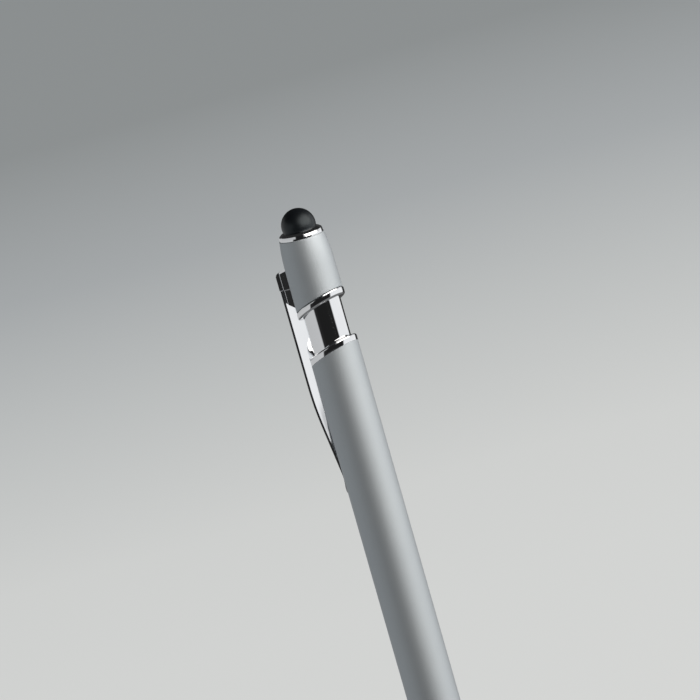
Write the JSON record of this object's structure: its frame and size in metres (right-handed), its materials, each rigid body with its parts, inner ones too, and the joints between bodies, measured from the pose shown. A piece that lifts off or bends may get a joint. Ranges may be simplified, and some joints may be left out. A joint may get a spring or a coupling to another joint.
{
  "type": "stylus pen",
  "caption": "Slim push-cap ballpoint pen in matte grey metal with chrome rings, side clip and a rubber dome stylus on the cap; pushing the cap advances the refill.",
  "frame": {"origin": "centre of the nose opening at the writing end, on the pen's axis", "axes": "+Z along the pen from the writing end to the stylus, the clip on the -X side"},
  "size_m": [0.0135, 0.0106, 0.14],
  "materials": {
    "grey_aluminium": "fine bead-blasted grey anodising",
    "chrome": "bright chrome plating",
    "stylus_rubber": "soft matte conductive silicone",
    "mechanism_plastic": "moulded acetal",
    "brass": "turned brass",
    "spring_steel": "drawn spring wire",
    "refill_plastic": "extruded polypropylene",
    "ink": "ballpoint paste",
    "nickel_silver": "turned nickel silver",
    "carbide": "ground carbide ball"
  },
  "bodies": {
    "barrel": {"barrel": "grey_aluminium", "barrel_trim_ring": "chrome", "inner_tube": "chrome", "cam_housing": "mechanism_plastic", "barrel_bush": "brass", "refill_spring": "spring_steel"},
    "cap": {"push_cap": "grey_aluminium", "glide_sleeve": "mechanism_plastic", "cap_trim_ring": "chrome", "stylus_collar": "chrome", "stylus_tip": "stylus_rubber", "pusher": "mechanism_plastic"},
    "clip": {"clip": "chrome"},
    "refill": {"rotor": "mechanism_plastic", "refill_tube": "refill_plastic", "ink_column": "ink", "point_holder": "brass", "refill_point": "nickel_silver"},
    "ball": {"writing_ball": "carbide"},
    "nose": {"nose_cone": "chrome"}
  },
  "joints": [
    {"name": "cap_push", "type": "slide", "parent": "barrel", "child": "cap", "axis": [0, 0, -1], "range_m": [0, 0.0075], "stiffness_N_per_m": 400, "springref_m": -0.0025},
    {"name": "refill_advance", "type": "slide", "parent": "barrel", "child": "refill", "axis": [0, 0, -1], "range_m": [0, 0.0075], "deforming": ["refill_spring"]},
    {"name": "clip_flex", "type": "hinge", "parent": "cap", "child": "clip", "pos_m": [-0.0052, 0, 0.12825], "axis": [0, 1, 0], "range_deg": [0, 4], "stiffness_Nm_per_rad": 2},
    {"name": "nose_off", "type": "slide", "parent": "barrel", "child": "nose", "axis": [0, 0, -1], "range_m": [0, 0.024]},
    {"name": "ball_roll", "type": "hinge", "parent": "refill", "child": "ball", "pos_m": [0, 0, 0.0037], "axis": [1, 0, 0], "continuous": true}
  ],
  "couplings": [
    {"joint": "refill_advance", "follows": "cap_push", "ratio": 1}
  ]
}
